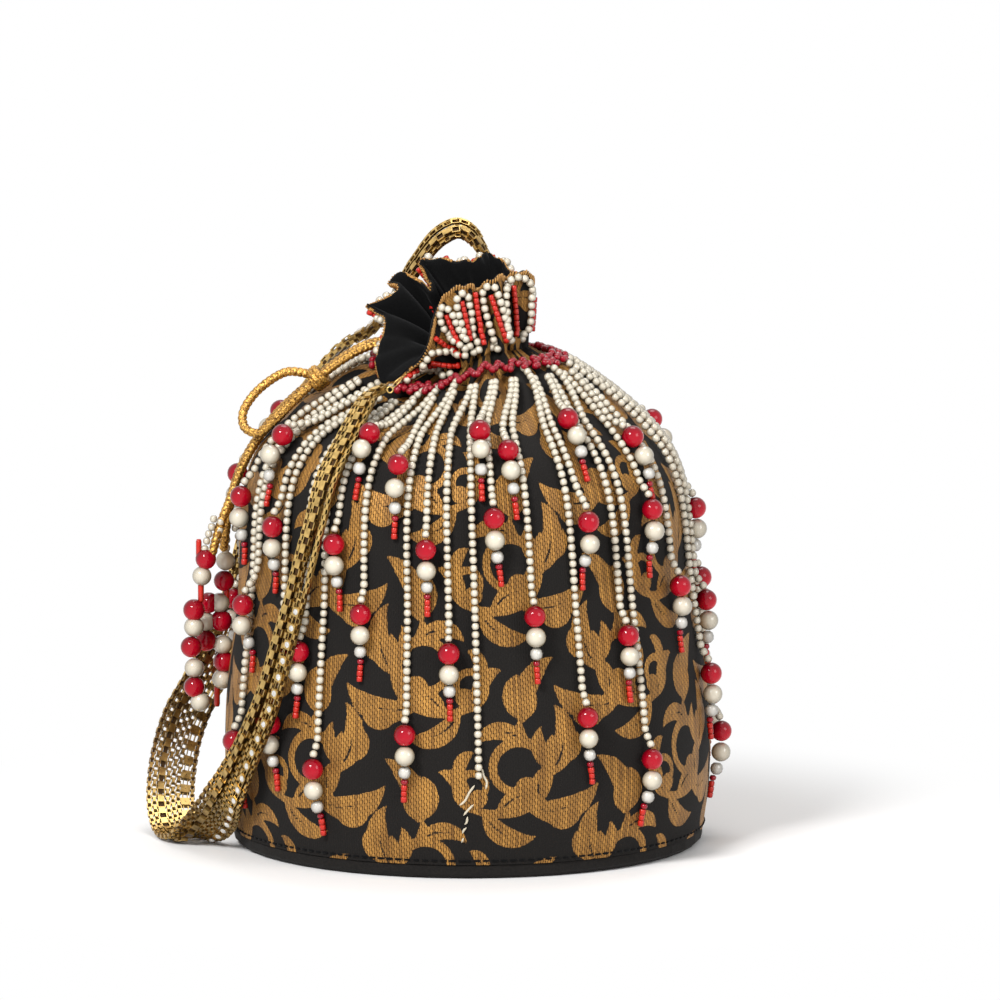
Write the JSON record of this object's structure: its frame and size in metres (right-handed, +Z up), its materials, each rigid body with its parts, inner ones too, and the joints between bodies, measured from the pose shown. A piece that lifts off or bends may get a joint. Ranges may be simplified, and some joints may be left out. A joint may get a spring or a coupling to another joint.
{
  "type": "potli bag",
  "caption": "Round-bottomed drawstring pouch of brocade with a gathered neck and ruffle, beaded fringe and tassels, and a hanging chain-and-stone strap.",
  "frame": {"origin": "centre of the flat underside of the base, on the surface that the pouch stands on", "axes": "+Z up, -Y to the front of the pouch, +X to its right as it is seen from the front"},
  "size_m": [0.2166, 0.1897, 0.226],
  "materials": {
    "brocade": "matt and satin woven",
    "lining_cloth": "matt",
    "base_cloth": "matt",
    "pearl_beads": "gloss",
    "coral_beads": "gloss",
    "red_beads": "gloss",
    "gold_cord": "metallic thread",
    "strap_chain": "antique"
  },
  "bodies": {
    "root": {"base_panel": "base_cloth", "brocade_shell": "brocade", "lining": "lining_cloth", "fringe_01": "pearl_beads", "fringe_02": "pearl_beads", "fringe_03": "pearl_beads", "fringe_04": "pearl_beads", "fringe_05": "pearl_beads", "fringe_06": "pearl_beads", "fringe_07": "pearl_beads", "fringe_08": "pearl_beads", "fringe_09": "pearl_beads", "fringe_10": "pearl_beads", "fringe_11": "pearl_beads", "fringe_12": "pearl_beads", "fringe_13": "pearl_beads", "fringe_14": "pearl_beads", "fringe_15": "pearl_beads", "fringe_16": "pearl_beads", "ruffle_loop_01": "pearl_beads", "ruffle_loop_02": "pearl_beads", "ruffle_loop_03": "pearl_beads", "ruffle_loop_04": "pearl_beads", "ruffle_loop_05": "pearl_beads", "ruffle_loop_06": "pearl_beads", "ruffle_loop_07": "pearl_beads", "ruffle_loop_08": "pearl_beads", "ruffle_loop_09": "pearl_beads", "ruffle_loop_10": "pearl_beads", "ruffle_loop_11": "pearl_beads", "ruffle_loop_12": "pearl_beads", "ruffle_bar_01": "coral_beads", "ruffle_bar_02": "coral_beads", "ruffle_bar_03": "coral_beads", "ruffle_bar_04": "coral_beads", "ruffle_bar_05": "coral_beads", "ruffle_bar_06": "coral_beads", "ruffle_bar_07": "coral_beads", "ruffle_bar_08": "coral_beads", "ruffle_bar_09": "coral_beads", "ruffle_bar_10": "coral_beads", "ruffle_bar_11": "coral_beads", "ruffle_bar_12": "coral_beads", "drawcord_ring": "gold_cord", "cord_tail_front": "gold_cord", "cord_tail_rear": "gold_cord", "cord_bow_loop": "gold_cord", "cord_knot": "gold_cord", "tassel_front": "red_beads", "tassel_rear": "red_beads", "chain_strap": "strap_chain"}
  },
  "joints": []
}
